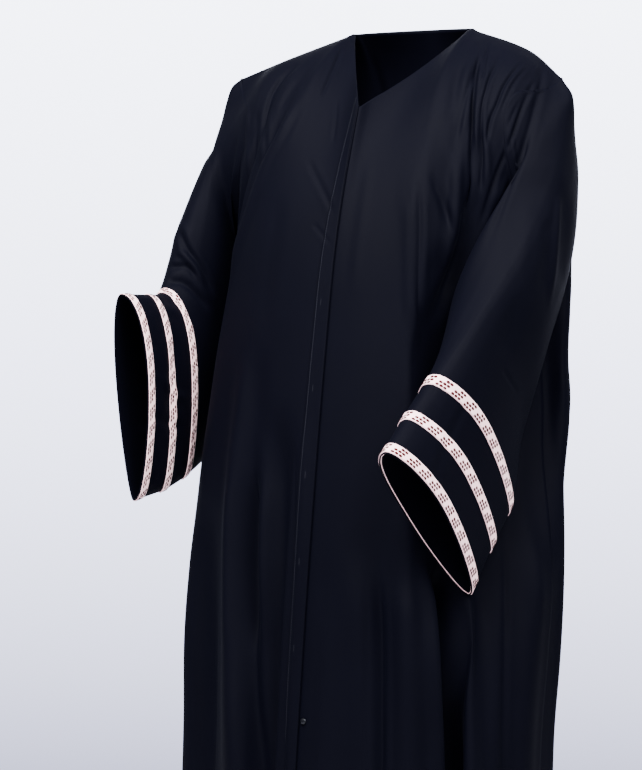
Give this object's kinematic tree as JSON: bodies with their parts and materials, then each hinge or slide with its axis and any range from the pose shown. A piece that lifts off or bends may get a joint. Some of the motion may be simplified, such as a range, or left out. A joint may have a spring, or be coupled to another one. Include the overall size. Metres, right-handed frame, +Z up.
{
  "type": "abaya",
  "caption": "Open-front abaya with a V neck, a front opening with a press stud and wide sleeves with dotted ribbons, kept in its worn hollow shape.",
  "frame": {"origin": "midway between the two points where the shoulder seams meet the neck, where the garment hangs from whoever wears it", "axes": "+Z up along the body, -Y to the front, +X to the wearer's left"},
  "size_m": [0.5169, 0.4071, 1.431],
  "materials": {
    "crepe": "soft matt black crepe with a faint sheen",
    "ribbon": "matt pale ribbon with small dark red dots",
    "steel": "plated press stud"
  },
  "bodies": {
    "root": {"back": "crepe", "front_left": "crepe", "front_right": "crepe", "placket_band": "crepe", "press_stud": "steel", "ribbon_left_1": "ribbon", "ribbon_left_2": "ribbon", "ribbon_left_3": "ribbon", "ribbon_right_1": "ribbon", "ribbon_right_2": "ribbon", "ribbon_right_3": "ribbon", "sleeve_left": "crepe", "sleeve_right": "crepe"}
  },
  "joints": []
}
